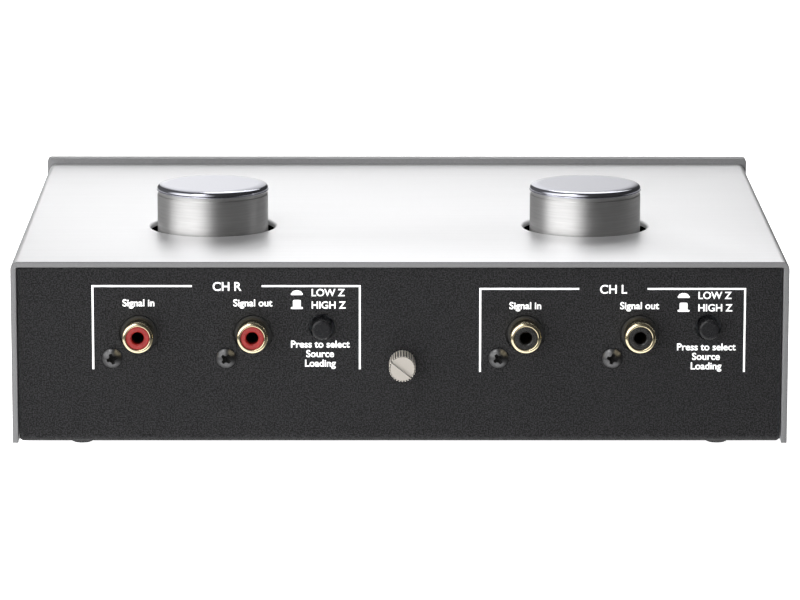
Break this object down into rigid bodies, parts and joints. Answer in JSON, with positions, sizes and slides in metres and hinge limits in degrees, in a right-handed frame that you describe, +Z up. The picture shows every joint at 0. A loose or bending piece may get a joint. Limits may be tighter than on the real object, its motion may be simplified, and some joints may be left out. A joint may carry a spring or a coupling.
{
  "type": "moving coil step-up transformer",
  "caption": "Flat audio box with phono sockets, push buttons and a ground screw on its rear panel, and screened transformer cans standing up through its brushed cover.",
  "frame": {"origin": "under the middle of the whole box, in the plane of the feet's soles", "axes": "+Z up, +Y out of the rear panel, +X to the right as seen from the front"},
  "size_m": [0.2074, 0.1668, 0.0643],
  "materials": {
    "panel_black": "fine textured powder coat",
    "cover_aluminium": "fine brushed, clear anodised",
    "front_aluminium": "fine brushed, clear anodised",
    "bright_screw": "zinc plated",
    "black_screw": "black oxide, slightly shiny",
    "standoff_brass": "bare turned brass",
    "foot_rubber": "matt moulded rubber",
    "board_laminate": "solder resist on glass laminate",
    "socket_black": "moulded plastic",
    "socket_gold": "thin gold plate, polished",
    "insulator_red": "moulded, satin",
    "insulator_black": "moulded, satin",
    "switch_grey": "moulded plastic",
    "switch_brown": "pressed phenolic board",
    "plunger_white": "moulded plastic",
    "spring_steel": "drawn spring wire",
    "button_black": "moulded, satin",
    "can_metal": "drawn, satin sides and polished lid",
    "core_iron": "stacked laminations",
    "bobbin_plastic": "moulded nylon",
    "winding_copper": "enamelled copper wire",
    "pin_tinned": "tinned",
    "ground_nickel": "nickel plated, knurled",
    "wire_green": "vinyl insulation"
  },
  "bodies": {
    "case": {"base_tray": "panel_black", "top_cover": "cover_aluminium", "front_panel": "front_aluminium", "cover_screws": "bright_screw", "front_panel_screws": "bright_screw", "board_screws": "bright_screw", "socket_screws": "black_screw", "board_standoffs": "standoff_brass", "foot_rear_right": "foot_rubber", "foot_rear_left": "foot_rubber", "foot_front_right": "foot_rubber", "foot_front_left": "foot_rubber", "right_circuit_board": "board_laminate", "right_input_socket_body": "socket_black", "right_input_socket_shell": "socket_gold", "right_input_socket_contact": "socket_gold", "right_input_socket_insulator": "insulator_red", "right_output_socket_body": "socket_black", "right_output_socket_shell": "socket_gold", "right_output_socket_contact": "socket_gold", "right_output_socket_insulator": "insulator_red", "right_switch_housing": "switch_grey", "right_switch_back": "switch_brown", "right_switch_spring": "spring_steel", "right_transformer_can": "can_metal", "right_transformer_lid": "can_metal", "right_transformer_base": "socket_black", "right_transformer_core": "core_iron", "right_transformer_bobbin": "bobbin_plastic", "right_primary_winding": "winding_copper", "right_secondary_winding": "winding_copper", "left_circuit_board": "board_laminate", "left_input_socket_body": "socket_black", "left_input_socket_shell": "socket_gold", "left_input_socket_contact": "socket_gold", "left_input_socket_insulator": "insulator_black", "left_output_socket_body": "socket_black", "left_output_socket_shell": "socket_gold", "left_output_socket_contact": "socket_gold", "left_output_socket_insulator": "insulator_black", "left_switch_housing": "switch_grey", "left_switch_back": "switch_brown", "left_switch_spring": "spring_steel", "left_transformer_can": "can_metal", "left_transformer_lid": "can_metal", "left_transformer_base": "socket_black", "left_transformer_core": "core_iron", "left_transformer_bobbin": "bobbin_plastic", "left_primary_winding": "winding_copper", "left_secondary_winding": "winding_copper", "solder_pins": "pin_tinned", "ground_nut": "ground_nickel", "ground_tag": "ground_nickel", "ground_wire": "wire_green"},
    "right_button": {"right_button_cap": "button_black", "right_switch_plunger": "plunger_white"},
    "left_button": {"left_button_cap": "button_black", "left_switch_plunger": "plunger_white"},
    "ground_slide": {"ground_washer": "ground_nickel"},
    "ground_thumb": {"ground_screw": "ground_nickel"}
  },
  "joints": [
    {"name": "right_button_press", "type": "slide", "parent": "case", "child": "right_button", "axis": [0, -1, 0], "range_m": [0, 0.0025], "stiffness_N_per_m": 500, "springref_m": -0.0015, "deforming": ["right_switch_spring"]},
    {"name": "left_button_press", "type": "slide", "parent": "case", "child": "left_button", "axis": [0, -1, 0], "range_m": [0, 0.0025], "stiffness_N_per_m": 500, "springref_m": -0.0015, "deforming": ["left_switch_spring"]},
    {"name": "ground_screw_travel", "type": "slide", "parent": "case", "child": "ground_slide", "axis": [0, 1, 0], "range_m": [0, 0.00298]},
    {"name": "ground_screw_turn", "type": "hinge", "parent": "ground_slide", "child": "ground_thumb", "pos_m": [-0.0006, 0.07485, 0.0253], "axis": [0, 1, 0], "range_deg": [0, 1530]}
  ],
  "couplings": [
    {"joint": "ground_screw_turn", "follows": "ground_screw_travel", "rad_per_m": 8976}
  ]
}
